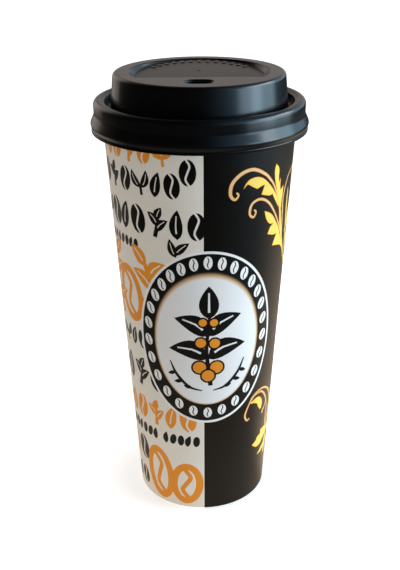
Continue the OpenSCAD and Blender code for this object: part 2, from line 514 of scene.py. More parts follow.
def pen(angle, z, turn=0.0, mirror=1, side=WHITE_SIDE):
    c, s = cos(radians(turn)), sin(radians(turn))

    def draw(ink, shape):
        spots = []
        for u, v in shape:
            u *= mirror
            high = z + s * u + c * v
            spots.append((angle + degrees((c * u - s * v) / wall_r(high)), high))
        layers.append((INK[ink], side, spots))

    return draw


print("inks", INKS)

# %% [markdown]
# ## Motifs of the pale half
#
# The pale half is filled with rows of bold upright motifs in black and ochre: beans, leaves, cherries and
# spices. All are drawn from a height alone and fill it with about the same weight, so a row looks even from afar.

# %% Beans, leaves, cherries and spices
RIB_FROM = 3.6
BEAN_SHARE = 0.62
STROKE = 3.4


def scaled(points, size):
    return [[c * size for c in p] for p in points]


def wave(bow, gap, line, steps):
    """The bent slit of a bean."""
    path = [(bow, -gap), (-bow, -gap / 2), (0, 0), (bow, gap / 2), (-bow, gap)]
    return ribbon([(*p, line) for p in path], steps=steps)


def bean(draw, ink, ground, high):
    """A coffee bean with its pale slit."""
    wide = BEAN_SHARE * high
    draw(ink, oval((0, 0), wide, high, steps=20))
    draw(ground, wave(wide * 0.12, high * 0.52, 0.075 * high, 3))


def open_bean(draw, ink, ground, high, plump=0.66, stroke=STROKE):
    """A large bean in outline, with its slit as a bold wave."""
    wide = plump * high
    draw(ink, oval((0, 0), wide, high, steps=36))
    draw(ground, oval((0, 0), wide - 2 * stroke, high - 2 * stroke, steps=36))
    draw(ink, wave(wide * 0.10, high / 2 - stroke, 0.62 * stroke, 5))


def leaf(draw, ink, ground, base, tip, width, bend=0.0):
    """A leaf. A wide one has a pale midrib."""
    draw(ink, blade(base, tip, width, bend))
    if width < RIB_FROM:
        return
    base, tip = np.array(base), np.array(tip)
    side = np.array([-(tip - base)[1], (tip - base)[0]])
    rib = []
    for t in (0.2, 0.45, 0.8):
        u, v = base + (tip - base) * t + side * bend * 4 * t * (1 - t)
        rib.append((u, v, width * (0.13 - 0.06 * t)))
    draw(ground, ribbon(rib, steps=2))


def leaves(draw, ink, ground, high, *shapes):
    """Leaves given by foot, tip, width and bend, in shares of the height."""
    for foot, tip, width, bend in shapes:
        leaf(draw, ink, ground, *scaled((foot, tip), high), width * high, bend)


def upright_leaf(draw, ink, ground, high):
    leaves(draw, ink, ground, high, ((-0.05, -0.5), (0.06, 0.5), 0.44, 0.05))


def twin_leaves(draw, ink, ground, high):
    """A seedling: two leaves on a short stem."""
    draw(ink, ribbon(scaled([(0, -0.5, 0.13), (0, -0.1, 0.11)], high), steps=2))
    for side in (-1, 1):
        leaves(draw, ink, ground, high, ((0, -0.22), (side * 0.34, 0.48), 0.33, -0.13 * side))


def sprout(draw, ink, ground, high):
    """A bent stem with three leaves."""
    draw(ink, ribbon(scaled([(-0.06, -0.5, 0.15), (0.02, 0, 0.14), (-0.03, 0.34, 0.08)], high), steps=3))
    leaves(
        draw, ink, ground, high,
        ((-0.02, -0.28), (0.36, 0.14), 0.31, 0.12), ((0.01, -0.10), (-0.36, 0.30), 0.31, -0.12),
        ((-0.02, 0.12), (0.12, 0.54), 0.28, 0.08),
    )


def anise(draw, ink, ground, high):
    """A star of eight pointed pods, each with its seed."""
    radius = high / 2
    for turn in range(12, 372, 45):
        c, s = cos(radians(turn)), sin(radians(turn))
        draw(ink, blade((0.1 * c, 0.1 * s), (radius * c, radius * s), radius * 0.50))
        draw(ground, oval((0.56 * radius * c, 0.56 * radius * s), radius * 0.20, radius * 0.12, turn, steps=8))
    draw(ink, oval((0, 0), radius * 0.50, radius * 0.50, steps=12))


def cherries(draw, ink, ground, high):
    """Two coffee cherries on a forked stalk, with a leaf."""
    r = high * 0.46
    for u, v in ((-0.27, -0.22), (0.27, -0.27)):
        draw(ink, ribbon(scaled([(u, v, 0.09), (u * 0.6, 0.22, 0.08), (0, 0.46, 0.1)], high), steps=3))
        draw(ink, oval((u * high, v * high), r, r * 1.06))
        glint = scaled([(-0.26, 0.08, 0.06), (-0.16, 0.26, 0.11), (0, 0.33, 0.06)], r)
        draw(ground, ribbon([(u * high + a, v * high + b, w) for a, b, w in glint], steps=2))
    draw(ink, blade((0, high * 0.40), (high * 0.46, high * 0.52), high * 0.24, 0.12))


def seed(draw, ink, ground, high):
    draw(ink, oval((0, 0), 0.52 * high, 0.92 * high, -10, steps=12))


def small_leaf(draw, ink, ground, high):
    draw(ink, blade((-0.08 * high, -0.5 * high), (0.10 * high, 0.5 * high), 0.46 * high, 0.06))


# Each motif with its width, as a share of its height
MOTIFS = {
    "bean": (bean, BEAN_SHARE), "leaf": (upright_leaf, 0.46), "twin": (twin_leaves, 0.84),
    "sprout": (sprout, 0.78), "anise": (anise, 0.98), "cherries": (cherries, 1.0),
    "seed": (seed, 0.52), "sprig": (small_leaf, 0.46),
}
print("motifs", list(MOTIFS))

# %% [markdown]
# ## The rows of the pale half
#
# Each row is a ring at one height. It is walked from its right end, near the edge of the dark half, leftwards
# round to the seam, and its motifs take turns, leaning a little to one side and then to the other.

# %% Fill the rows
SEAM_ANGLE = 180.0
SEAM_HALF = 6.4
SEAM_CLEAR = 5.0
LEFT_END = SEAM_ANGLE + SEAM_HALF - 360 + SEAM_CLEAR
MOTIF_LEAN = 5
GAP, SMALL_GAP = 0.7, 0.6


def row(z, start, height, ink, kinds, gap=GAP):
    """One row of motifs, from the angle start to the left. A number among the kinds is a wider gap."""
    angle, lean = start, MOTIF_LEAN
    for kind in cycle(kinds.split()):
        if kind in MOTIFS:
            motif, share = MOTIFS[kind]
            turn = degrees(share * height / wall_r(z))
            if angle - turn < LEFT_END:
                return
            motif(pen(angle - turn / 2, z, lean), ink, "white", height)
            angle -= turn + degrees(gap / wall_r(z))
        else:
            angle -= degrees(float(kind) / wall_r(z))
        lean = -lean


row(170.6, -15.5, 10.6, "ochre", "twin bean sprout bean leaf twin 3.0 cherries bean sprout leaf")
bean(pen(-7.0, 163.4), "black", "white", 11.4)
row(157.3, -11.5, 11.2, "black", "bean leaf twin bean sprout bean leaf 4.0 sprout bean anise leaf")
bean(pen(-2.2, 140.0), "black", "white", 12.4)
row(140.6, -9.5, 13.2, "black", "leaf sprout bean leaf bean twin leaf 4.5 bean cherries leaf sprout")
row(128.6, -43.0, 5.2, "black", "seed sprig seed seed sprig sprig seed seed 2.5", SMALL_GAP)
upright_leaf(pen(-17.5, 130.0, 24), "black", "white", 8.6)
upright_leaf(pen(-11.6, 129.9, -42), "black", "white", 8.6)
row(82.6, -42.0, 9.4, "black", "bean leaf twin bean leaf 4.0 sprout bean leaf")
row(65.6, -30.0, 14.2, "black", "leaf sprout leaf twin leaf 5.0 bean sprout leaf")
row(47.2, -4.0, 12.4, "ochre", "bean leaf sprout bean leaf twin 4.5 bean leaf cherries leaf")
row(
    36.0, -1.5, 6.0, "black",
    "seed sprig seed seed sprig 2.5 sprig seed seed sprig seed seed sprig seed 3.0", SMALL_GAP,
)
row(8.6, -56.0, 9.6, "black", "bean leaf sprout bean twin leaf 4.0")
bean(pen(-59.5, 24.2, 8), "black", "white", 13.0)
print(len(layers), "shapes in the rows")

# %% [markdown]
# ## The large ochre shapes
#
# Between the rows stand a few large shapes in ochre, each with a stroke of three to four millimetres: beans in
# outline and tall sprays of leaves. They are drawn with the same blades, ribbons and ovals, only bigger.

# %% Draw the large ochre shapes
def spray(draw, ink, ground, tall):
    """A tall bowed stem with broad leaves on both sides."""
    def at(t):
        return (0.16 * tall * (2 * t - 1) ** 2 - 0.05 * tall, tall * (t - 0.5))

    draw(ink, ribbon([(*at(t), STROKE * (1 - 0.35 * t)) for t in (0, 0.25, 0.5, 0.75, 0.92)]))
    for t, side, reach in ((0.16, 1, 0.30), (0.34, -1, 0.33), (0.50, 1, 0.32), (0.66, -1, 0.27)):
        foot = at(t)
        tip = (foot[0] + side * reach * tall * 0.86, foot[1] + reach * tall * 0.72)
        leaf(draw, ink, ground, foot, tip, tall * 0.17, 0.14 * side)
    leaf(draw, ink, ground, at(0.80), (at(1.0)[0] + 0.10 * tall, tall * 0.54), tall * 0.17, 0.05)


spray(pen(-37.0, 108.5, 2, mirror=-1), "ochre", "white", 37)
open_bean(pen(-56.5, 103.5, 8), "ochre", "white", 27)
open_bean(pen(-39.5, 15.6, 5), "ochre", "white", 27.5, 0.56)
open_bean(pen(-13.6, 12.9, -6), "ochre", "white", 22.0, 0.70)
for k, angle in enumerate((-76.0, -95.0, -114.0, -133.0, -152.0)):
    if k % 2:
        open_bean(pen(angle, 105.0, 8), "ochre", "white", 27)
    else:
        spray(pen(angle, 108.0, -3, mirror=(-1) ** (k // 2)), "ochre", "white", 35)
for angle in (-80.0, -121.0):
    open_bean(pen(angle, 24.0, 8), "ochre", "white", 15.0, stroke=2.6)
    bean(pen(angle - 20, 24.0, -8), "ochre", "white", 13.5)
print(len(layers), "shapes on the pale half")

# %% [markdown]
# ## The medallion
#
# An oval badge covers the edge between the pale and the dark half: a fine white line, a black ring with a round
# of pale beans, and a light field with a soft brown rim. In the field stands a coffee branch: black leaves in
# pairs on an upright stem, ochre cherries where they meet it, and a thin garland on each side.

# %% Draw the medallion
BADGE_ANGLE, BADGE_Z = 4.6, 87.7
BADGE_W, BADGE_H = 63.8, 83.0
FIELD_W, FIELD_H = 48.8, 64.4
WHITE_LINE = 2.3
BEANS = 28
BEAN_W, BEAN_H, BEAN_GROWS = 3.8, 5.6, 0.4
BEAN_LEAN = 24.0
BEAN_SLIT = ((0.25, -0.42, 0.35), (-0.3, -0.2, 0.5), (0, 0, 0.5), (0.3, 0.2, 0.5), (-0.25, 0.42, 0.35))
CROWDING = 0.14
CHERRY_LINE, CHERRY_INSIDE = 1.1, 0.5

badge = pen(BADGE_ANGLE, BADGE_Z, side=BOTH_SIDES)
badge("ring_white", oval((0, 0), BADGE_W, BADGE_H, steps=120))
badge("black", oval((0, 0), BADGE_W - WHITE_LINE, BADGE_H - WHITE_LINE, steps=120))
badge("field", oval((0, 0), FIELD_W, FIELD_H, steps=120))
ring_w, ring_h = (BADGE_W - WHITE_LINE + FIELD_W) / 4, (BADGE_H - WHITE_LINE + FIELD_H) / 4
for k in range(BEANS):
    even = 2 * pi * k / BEANS
    t = even - CROWDING * sin(even) * abs(sin(even))
    middle = (ring_w * sin(t), ring_h * cos(t))
    lean = -BEAN_LEAN * sin(t)
    high = BEAN_H + BEAN_GROWS * cos(t)
    badge("ring_white", oval(middle, BEAN_W, high, lean, steps=16))
    c, s = cos(radians(lean)), sin(radians(lean))
    slit = []
    for u, share, width in BEAN_SLIT:
        v = share * high
        slit.append((middle[0] + c * u - s * v, middle[1] + s * u + c * v, width))
    badge("black", ribbon(slit, steps=2))


def branch(draw):
    """The motif in the field of the medallion."""
    draw("black", ribbon([(1.2, -22.5, 2.0), (0.2, -14, 1.8), (-0.6, -4, 1.6), (0.3, 6, 1.4), (0.8, 14, 1.0)]))
    for foot, tip, width, bend in (
        ((0, -9), (-17.0, -5.0), 8.6, -0.16), ((0, -9), (17.0, -3.5), 8.6, 0.16),
        ((0, 2), (-14.5, 10.0), 8.2, -0.14), ((0, 2), (14.8, 11.0), 8.2, 0.14),
        ((0.5, 10), (0.4, 25.5), 8.6, 0.0),
    ):
        leaf(draw, "black", "field", foot, tip, width, bend)
    for u, v, wide in (
        (-3.6, -13.4, 6.2), (3.8, -13.6, 6.2), (0.1, -17.6, 6.0),
        (-3.0, -1.4, 5.0), (3.0, -1.8, 5.0), (-2.2, 8.4, 4.0), (2.6, 8.2, 4.0),
    ):
        for ink, more in (("black", CHERRY_LINE), ("ochre", -CHERRY_INSIDE)):
            draw(ink, oval((u, v), wide + more, wide + more, steps=20))
    garland = ((2.4, -25.0, 0.5), (8, -23.2, 1.2), (13.6, -17.4, 1.3), (16.6, -11.0, 0.5))
    small_leaves = ((7.0, -23.6, 10.6, -22.6), (11.2, -20.4, 14.8, -21.2), (14.2, -16.4, 17.6, -17.6))
    for side in (-1, 1):
        draw("black", ribbon([(side * u, v, width) for u, v, width in garland]))
        for u, v, tip_u, tip_v in small_leaves:
            draw("black", blade((side * u, v), (side * tip_u, tip_v), 1.9))


branch(badge)
print("medallion with", BEANS, "beans")

# %% [markdown]
# ## Gold scrolls of the dark half
#
# The dark half has an old kind of ornament: stems that end in curls, and leaves with lobes along them. It is
# drawn once for the left side, and once more mirrored about the middle of the dark half, where upright leaves
# join the two. Stems are paler than leaves. Each shape gets a slightly larger ochre one beneath it, which leaves
# a fine darker outline.

# %% Draw the scrolls
SCROLL_ANGLE = 91.3
SCROLL_EDGE = 0.20


def lobed(runs, grow=0.0):
    """A leaf outline of smooth runs, clockwise. Each run starts at the point where the one before it ends."""
    path = []
    for i, run in enumerate(runs):
        path += smooth_curve([runs[i - 1][-1], *run], 3)[:-1]
    return [tuple(p) for p in beside([path[-1], *path, path[0]], grow)[1:-1]]


upper_scroll = [
    ("pale_gold", ribbon, [
        (-21, 138, .4), (-25.5, 147, .5), (-29.4, 153.5, .6), (-32.6, 157, .75), (-36.2, 160, .9),
        (-42.4, 162.9, 1.15), (-47.8, 162, 1.3), (-51.6, 158.2, 1.3), (-51.9, 153.4, 1.1),
        (-49.7, 151, .8), (-48.3, 152.7, .6), (-49.3, 154, .5),
    ]),
    ("pale_gold", ribbon, [
        (-18, 127, .4), (-21, 132.5, .5), (-25.8, 139.6, .55), (-31.6, 146.4, .7), (-37.1, 149.3, .85),
        (-41.3, 147.9, .9), (-41.9, 143.8, .8), (-39.8, 141.9, .6), (-38.8, 144, .5), (-39.9, 145.2, .4),
    ]),
    ("gold", ribbon, [
        (-12, 116, .6), (-13.7, 119.9, 1.1), (-16.1, 123.8, 1.3), (-19.2, 130.9, 1.4), (-20.9, 135.8, 1.3),
        (-22.3, 140.7, 1.1), (-24.5, 146, .8),
    ]),
    ("pale_gold", ribbon, [
        (-15.5, 124, .4), (-17.3, 127.2, .6), (-19.0, 136.7, .7), (-20.2, 144.4, .7), (-19.6, 148.6, .6),
        (-17.7, 152.9, .5), (-14.8, 155.4, .4), (-9, 157, .4), (-3, 155.5, .4),
    ]),
    ("gold", ribbon, [
        (-11.0, 117, .8), (-11.5, 125.2, 1.2), (-13.2, 134.8, 1.5), (-14.5, 143, 1.4), (-14.6, 148.5, .6),
    ]),
    ("gold", lobed, [
        [
            (-45.4, 157.2), (-43.5, 158.9), (-39.9, 159.2), (-36.6, 157.9),
            (-33.1, 155.1), (-30, 152), (-26.3, 147.6), (-24.2, 142.9),
        ],
        [(-27.7, 147.1), (-29.9, 150.1)], [(-31.8, 149.8), (-34, 150.4), (-36.7, 151.3)],
        [(-36.0, 153.4), (-35.4, 155.3)], [(-36.9, 155.2), (-39.6, 154.3)],
        [(-42, 155.6), (-44.6, 157.0), (-46.1, 155.5)],
    ]),
    ("gold", lobed, [
        [
            (-29.9, 141.3), (-27.4, 139.1), (-24.5, 135.7), (-22.1, 132.7), (-19.8, 128.7),
            (-17, 124.4), (-15.5, 121.5),
        ],
        [(-18.5, 123.9), (-21.6, 124.9), (-25.7, 125.9)], [(-24.6, 128.4), (-23.0, 130.6)],
        [(-26.7, 131.1), (-30.1, 132.3)], [(-28.9, 134.8), (-26.7, 136.3)],
        [(-29.8, 137.0), (-32.2, 139.6), (-33.6, 143.1)],
    ]),
    ("gold", lobed, [
        [(-27, 151.2), (-28.8, 155.3), (-29.9, 159.8), (-29.4, 162.6)],
        [(-27.0, 160.3), (-26.6, 156.5), (-25.9, 153.2)],
        [(-25.0, 155.4)], [(-24.6, 152.3), (-23.9, 149.8)], [(-21.5, 151.4)],
        [(-21.4, 147.4), (-21.8, 144.9), (-21.5, 141.6)], [(-24, 144)],
    ]),
    ("gold", blade, ((-14, 128), (-7.5, 143), 3.2, -0.10)),
    ("gold", blade, ((-12, 122), (-3.5, 133), 3.4, -0.12)),
    ("gold", ribbon, [(-12.2, 117, .6), (-8, 112.6, 1.1), (-3.5, 110.6, 1.2), (0, 110.2, 1.2)]),
    ("gold", blade, ((0, 110), (0, 133), 4.4)),
    ("gold", blade, ((-1.2, 110.6), (-6.2, 124), 3.0, -0.14)),
    ("gold", blade, ((0, 110), (0, 99), 3.2)),
]
lower_scroll = [
    ("pale_gold", ribbon, [
        (-12.5, 32, .7), (-10.6, 38, 1.0), (-8.9, 43.2, 1.1), (-10.2, 47, 1.0), (-12.9, 50.9, .8),
        (-17.3, 54.3, .6), (-22.3, 55.6, .5), (-27.0, 54.2, .5), (-29.2, 50.8, .55),
        (-30.9, 46.3, .7), (-30.5, 44.1, .7), (-29.2, 42.6, .6), (-28.0, 43.3, .4),
    ]),
    ("pale_gold", ribbon, [
        (-28.6, 51.6, .3), (-26, 54.0, .4), (-21.5, 54.1, .6), (-18.2, 51.6, .7), (-15.2, 47.4, .7),
        (-13.7, 43.5, .6), (-13.4, 38.8, .6), (-13.0, 33, .5),
    ]),
    ("pale_gold", ribbon, [(-15.0, 46.5, .4), (-16.5, 43.9, .7), (-18.0, 42.6, .8), (-17.8, 41.2, .5)]),
    ("gold", ribbon, [
        (-8.5, 50, .5), (-8.6, 43, 1.2), (-8.2, 37, 1.4), (-8.8, 33.1, 1.3), (-10.3, 30, 1.2),
        (-11.2, 25.1, .8), (-10.4, 17, .4),
    ]),
    ("gold", lobed, [
        [(-26.5, 51.7), (-24, 52.2), (-21.5, 51.2), (-19.4, 48.2), (-19.6, 45.3), (-20.7, 44.8)],
        [(-22.3, 46.9), (-23.4, 48.9)], [(-25.5, 50.1), (-28.6, 50.9)],
    ]),
    ("gold", lobed, [
        [(-14.1, 26.8), (-17, 24.9), (-20.4, 25.0), (-23.6, 27.3)],
        [(-21.3, 28.4), (-20.0, 30.0), (-17.6, 30.4)],
        [(-17.6, 32.5)], [(-14, 32.4), (-10.8, 31.6)], [(-10.8, 28.4)],
    ]),
    ("gold", blade, ((-10.5, 23.3), (-18.4, 20.0), 2.3, 0.05)),
    ("gold", blade, ((-11, 27), (-11.5, 16.5), 2.6, 0.05)),
    ("gold", blade, ((-10, 31), (-4.5, 24), 3.0, 0.1)),
    ("gold", ribbon, [(-8.6, 41, .5), (-5.6, 37.4, .9), (-2.4, 36, 1.0), (0, 35.8, 1.0)]),
    ("gold", blade, ((0, 35.6), (0, 50), 3.4)),
    ("gold", blade, ((0, 35.6), (0, 26), 2.8)),
]
for scroll in (upper_scroll, lower_scroll):
    for mirror in (1, -1):
        draw = pen(SCROLL_ANGLE, 0, mirror=mirror, side=DARK_SIDE)
        for grow in (SCROLL_EDGE, 0.0):
            for ink, kind, values in scroll:
                shape = blade(*values, grow=grow) if kind is blade else kind(values, grow)
                draw("ochre" if grow else ink, shape)
print(len(layers), "shapes in the whole print")

# %% [markdown]
# ## From flat shapes to the printed wall
#
# All outlines are cut into one flat sheet of triangles with a constrained Delaunay triangulation, so each ink
# gets faces of its own with crisp edges. Upright lines every three degrees go in as well, because the sheet
# bends round the cup there. The topmost shape that covers a triangle gives its ink.

# %% Cut the print into triangles
STEP_ANGLE = SEAM_ANGLE + SEAM_HALF
WALL_LOW, FLAP_LOW, FLAP_HIGH, WALL_HIGH = FOOT_ROUND, 1.3, 182.0, CURL_Z
FLAT_SCALE = 0.62  # millimetres to a degree on the flat sheet
RAMP = 5.0
FACET, FACETS_FROM, RAMP_FROM, LAP_FROM, LAP_TO = 3, -171, 165, 176, 186
FINENESS = 1e-5
ramp_angles = np.linspace(RAMP_FROM, STEP_ANGLE - 2 * SEAM_HALF, 6)
bends = [*range(FACETS_FROM, RAMP_FROM, FACET), *ramp_angles, *range(LAP_FROM, LAP_TO, FACET)]
facet_angles = [STEP_ANGLE - 360, *bends, STEP_ANGLE, EDGE_ANGLE]


def cut_sheet(loops, lines, scale=1.0):
    """Cuts closed loops and two-point lines into a flat sheet: its points, its triangles and their middles."""
    spots, edges = [], []
    for outline in loops:
        edges += [(len(spots) + i, len(spots) + (i + 1) % len(outline)) for i in range(len(outline))]
        spots += outline
    for line in lines:
        edges.append((len(spots), len(spots) + 1))
        spots += line
    cut = delaunay_2d_cdt([Vector((x * scale, y)) for x, y in spots], edges, [], 0, FINENESS)
    points, triangles = np.array([(v.x / scale, v.y) for v in cut[0]]), np.array(cut[2])
    return points, triangles, points[triangles].mean(axis=1)


def cover(points, outline):
    """True for the points inside an outline, by its winding number."""
    x, y = points.T
    turns = np.zeros(len(points), int)
    for (x0, y0), (x1, y1) in zip(outline, outline[1:] + outline[:1]):
        left = (x1 - x0) * (y - y0) - (x - x0) * (y1 - y0)
        turns += (y0 <= y) & (y1 > y) & (left > 0)
        turns -= (y0 > y) & (y1 <= y) & (left < 0)
    return turns != 0


uprights = [[(angle, WALL_LOW), (angle, WALL_HIGH)] for angle in facet_angles]
levels = [[(STEP_ANGLE - 360, z), (STEP_ANGLE, z)] for z in (WALL_LOW, FLAP_LOW, FLAP_HIGH, WALL_HIGH)]
flat, triangles, middles = cut_sheet([outline for _, _, outline in layers], uprights + levels, FLAT_SCALE)
inks = np.where(middles[:, 0] > EDGE_ANGLE, INK["dark"], INK["white"])
for ink, side, outline in layers:
    low, high = np.min(outline, axis=0), np.max(outline, axis=0)
    on_side = (middles[:, 0] - EDGE_ANGLE) * side >= 0
    near = np.flatnonzero(((middles > low) & (middles < high)).all(axis=1) & on_side)
    if len(near):
        inks[near[cover(middles[near], outline)]] = ink
print(len(triangles), "triangles in the print")

# %% [markdown]
# ## The finishes of the board
#
# Cup board is coated on the printed face and stays matt to satin, with a faint cloudiness from its fibres.
# Every ink keeps that ground: a slow cloud and fine fibres change its colour, roughness and relief a little.

# %% Printed board, inks, coated inside and raw edge
FIBRE, CLOUD = 1500.0, 70.0
FIBRE_ROUGH, CLOUD_ROUGH = 0.10, 0.06


def printed(name, colour, roughness, cloudy=0.05, relief=6e-6):
    """Ink on coated board."""
    made = finish_named(name, base_color=colour, roughness=roughness, ior=1.38)
    place = made.here()
    fibres, cloud = made.noise(place, FIBRE, 3.0), made.noise(place, CLOUD, 3.0)
    made.feed("Base Color", made.shaded(colour, 1 + cloudy * (cloud - 0.5) + cloudy * (fibres - 0.5)))
    made.feed("Roughness", roughness + FIBRE_ROUGH * (fibres - 0.5) + CLOUD_ROUGH * (cloud - 0.5))
    made.feed("Normal", made.bump(fibres + 0.5 * cloud, relief))
    return made


board_finishes = {
    "white": printed("printed_white", (0.80, 0.765, 0.70, 1), 0.48),
    "dark": printed("printed_dark", (0.0030, 0.0021, 0.0014, 1), 0.35, 0.25),
    "black": printed("printed_black", (0.0028, 0.0024, 0.0022, 1), 0.36, 0.2),
    "ochre": printed("printed_ochre", (0.82, 0.29, 0.008, 1), 0.45, 0.10),
    "gold": printed("printed_gold", (0.86, 0.63, 0.11, 1), 0.42, 0.10),
    "pale_gold": printed("printed_pale_gold", (0.72, 0.50, 0.27, 1), 0.42, 0.10),
    "field": printed("printed_field", (0.80, 0.82, 0.84, 1), 0.46),
    "ring_white": printed("printed_ring_white", (0.84, 0.85, 0.86, 1), 0.46),
    "coated": printed("coated_inside", (0.82, 0.81, 0.78, 1), 0.34, 0.03, 1e-5),
    "raw_edge": printed("raw_board_edge", (0.70, 0.64, 0.54, 1), 0.85, 0.25, 3e-5),
}
print(len(board_finishes), "finishes of the board")

# %% [markdown]
# The field's rim is a glow and not a line: from the pale field through tan and brown to the black of the ring.
# So it is worked out in the finish: how far a point lies from the middle of the oval, counted in ovals, where 1
# is the ring's inner edge. The glow is wide at the top and thins out downwards.

# %% The field's soft brown rim
TAN_GLOW, BROWN_GLOW = (0.60, 0.38, 0.17, 1), (0.030, 0.010, 0.004, 1)
TAN_FROM, TAN_TO, BROWN_FROM = 0.885, 0.955, 0.935
GLOW_THINS, TAN_THINS, BROWN_THINS = 0.042, 0.5, 0.7
field = board_finishes["field"]
x, y, z = field.parts(field.here())
reach = (x * x + y * y) ** 0.5
turn = x.calc("ARCTAN2", x, 0 - y) - radians(BADGE_ANGLE)
u = turn * reach / (FIELD_W / 2 * MM)
v = (z - BADGE_Z * MM) / (FIELD_H / 2 * MM)
oval_distance = (u * u + v * v) ** 0.5
plain = Wire(field, field.shader.inputs["Base Color"].links[0].from_socket)
narrower = GLOW_THINS * (1 - v)
tan_share = field.between(oval_distance, narrower + TAN_FROM, narrower * TAN_THINS + TAN_TO)
brown_share = field.between(oval_distance, narrower * BROWN_THINS + BROWN_FROM, 1.0)
glow = field.mix(tan_share, plain, TAN_GLOW)
field.feed("Base Color", field.mix(brown_share, glow, BROWN_GLOW))
print("rim of the field from", TAN_FROM, "of its size outwards")

# %% [markdown]
# ## The sidewall
#
# The printed cone, the rolled rim, the coated inside and the folded foot are one closed sheet. At the back the
# printed edge laps over the other one, so a thin step runs up the wall, which shows the board's raw edge.

# %% Build the sidewall
SMALL_TURN = 0.05
PRINT_FROM, PRINT_TALL = 0.27, 0.72
FOLD_BAND, CURL_BAND, TOP_EDGE_BAND = (0.225, 0.265), (0.20, 0.22), (0.19, 0.195)
INSIDE_BAND, FOOT_EDGE_BAND = (0.02, 0.185), (0.005, 0.01)
STEP_ON_BAKE = [(0.995, 0.27), (0.995, 0.28), (0.995, 0.97), (0.995, 0.98), (0.998, 0.97), (0.998, 0.28)]


def flap(angle, z):
    """How far the lapped edge lifts the printed face."""
    start = SEAM_ANGLE - SEAM_HALF - RAMP
    t = np.clip((angle - start) / RAMP, 0, 1)
    from_foot, from_rim = (z - WALL_LOW) / (FLAP_LOW - WALL_LOW), (WALL_HIGH - z) / (WALL_HIGH - FLAP_HIGH)
    return BOARD * t * t * (3 - 2 * t) * min(1, max(0, from_foot), max(0, from_rim))


def wall_normal(angle, z):
    rise = flap(angle + SMALL_TURN, z) - flap(angle - SMALL_TURN, z) if angle < STEP_ANGLE - 1 else 0.0
    slope = rise / radians(2 * SMALL_TURN) / wall_r(z)
    a = radians(angle)
    out, round_ = np.array([sin(a), -cos(a), 0]), np.array([cos(a), sin(a), 0])
    return unit(out - slope * round_ - WALL_SLOPE * np.array([0, 0, 1]))


def on_bake(angle, z):
    return ((angle - STEP_ANGLE + 360) / 360 * BAKE_WIDE + BAKE_FROM, PRINT_FROM + PRINT_TALL * z / CUP_H)


wall_sheet = Sheet()
spots = [(turned(wall_r(z) + flap(a, z), a, z), on_bake(a, z), wall_normal(a, z)) for a, z in flat]
for corners, ink in zip(triangles, inks):
    points, places, normals = zip(*(spots[i] for i in corners))
    wall_sheet.face(points, int(ink), places, normals)

angles = sorted({round(float(a), 6) for a, z in flat if abs(z - WALL_LOW) < 1e-6})
printed_face = rounded([
    (wall_r(FOLD_H) - FOLD_IN, FOLD_H, 0), (FOOT_R - FOLD_IN, 0, FOOT_ROUND),
    (FOOT_R, 0, FOOT_ROUND), (WALL_TOP_R, CURL_Z, 0),
])
printed_face[-2] = np.array([wall_r(WALL_LOW), WALL_LOW])
curl = arc((CURL_MID_R, CURL_Z), CURL_R - BOARD, 180, CURL_STOP, CURL_STEPS)
whole = printed_face[:-1] + curl
other_face = beside(whole, BOARD)
foot_steps = len(printed_face) - 2


def half_ink(angle):
    return INK["dark"] if angle > EDGE_ANGLE else INK["white"]


def raw_ink(_):
    return INK["raw_edge"]


wall_sheet.spin(whole[:foot_steps + 1], angles, half_ink, FOLD_BAND)
wall_sheet.spin(whole[foot_steps + 1:], angles, half_ink, CURL_BAND)
wall_sheet.spin([whole[-1], other_face[-1]], angles, raw_ink, TOP_EDGE_BAND)
wall_sheet.spin(other_face[::-1], angles, lambda _: INK["coated"], INSIDE_BAND)
wall_sheet.spin([other_face[0], whole[0]], angles, raw_ink, FOOT_EDGE_BAND)
low_side = [turned(wall_r(z), STEP_ANGLE, z) for z in (WALL_LOW, FLAP_LOW, FLAP_HIGH, WALL_HIGH)]
high_side = [turned(wall_r(z) + BOARD, STEP_ANGLE, z) for z in (FLAP_HIGH, FLAP_LOW)]
wall_sheet.face(low_side + high_side, INK["raw_edge"], STEP_ON_BAKE)
sidewall = wall_sheet.build("printed_sidewall", [board_finishes[name].material for name in INKS])
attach(sidewall, "cup")
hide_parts("wall")

# %% [markdown]
# ## The base
#
# The base is a disc of plain board with a skirt, set up inside the foot. Its CAD solid already has the right
# shape, so it stays and only gets a finish with fine fibres.

# %% Finish the base
base_board = printed("base_board", (0.76, 0.72, 0.64, 1), 0.62, 0.10, 1.5e-5)
base_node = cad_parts["base"]
for place in base_node.material_slots:
    place.material = base_board.material
print("base has", len(base_node.material_slots), "finish")

# %% [markdown]
# ## The lid
#
# The lid is one sheet of black plastic, drawn over a mould: dome, groove, rim bead, collar, flared skirt and a
# lip that tucks in. Everything round is a turned path. The top has a sunken part whose floor falls towards a
# front wall, a dished sip hole, an air vent and an arc of short raised dashes, so it is a height over a flat
# sheet of triangles.

